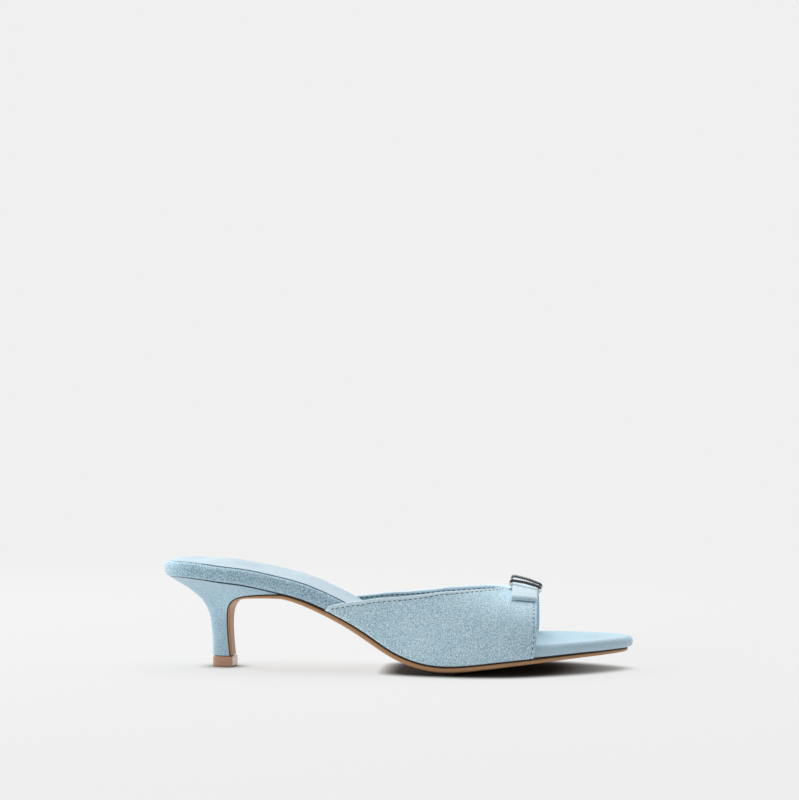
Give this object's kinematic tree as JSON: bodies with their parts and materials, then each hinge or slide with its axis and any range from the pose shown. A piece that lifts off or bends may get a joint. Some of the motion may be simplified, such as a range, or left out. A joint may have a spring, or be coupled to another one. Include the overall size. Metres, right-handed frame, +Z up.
{
  "type": "heeled mule",
  "caption": "Open-toed heeled mule for the right foot: wrapped footbed on a slim low heel, a cloth band over the forefoot, and a flat strap held by a wire buckle.",
  "frame": {"origin": "centre of the floor face of the heel's top piece", "axes": "+X towards the toe, +Z up, -Y towards the outer side of the foot"},
  "size_m": [0.2436, 0.0792, 0.0562],
  "materials": {
    "sole_board": "smooth tan leatherboard with a painted edge",
    "suede": "pale blue microsuede with a short nap",
    "lining": "smooth paler blue lining",
    "heel_suede": "pale blue microsuede stretched over a moulded heel",
    "top_piece": "glossy tan moulded lift",
    "upper_suede": "pale blue microsuede, lined, stitched along its edges",
    "strap_suede": "pale blue microsuede, folded",
    "chrome": "polished wire"
  },
  "bodies": {
    "root": {"outsole": "sole_board", "footbed": "suede", "sock": "lining", "heel": "heel_suede", "top_piece": "top_piece", "upper": "upper_suede", "strap": "strap_suede", "buckle": "chrome"}
  },
  "joints": []
}
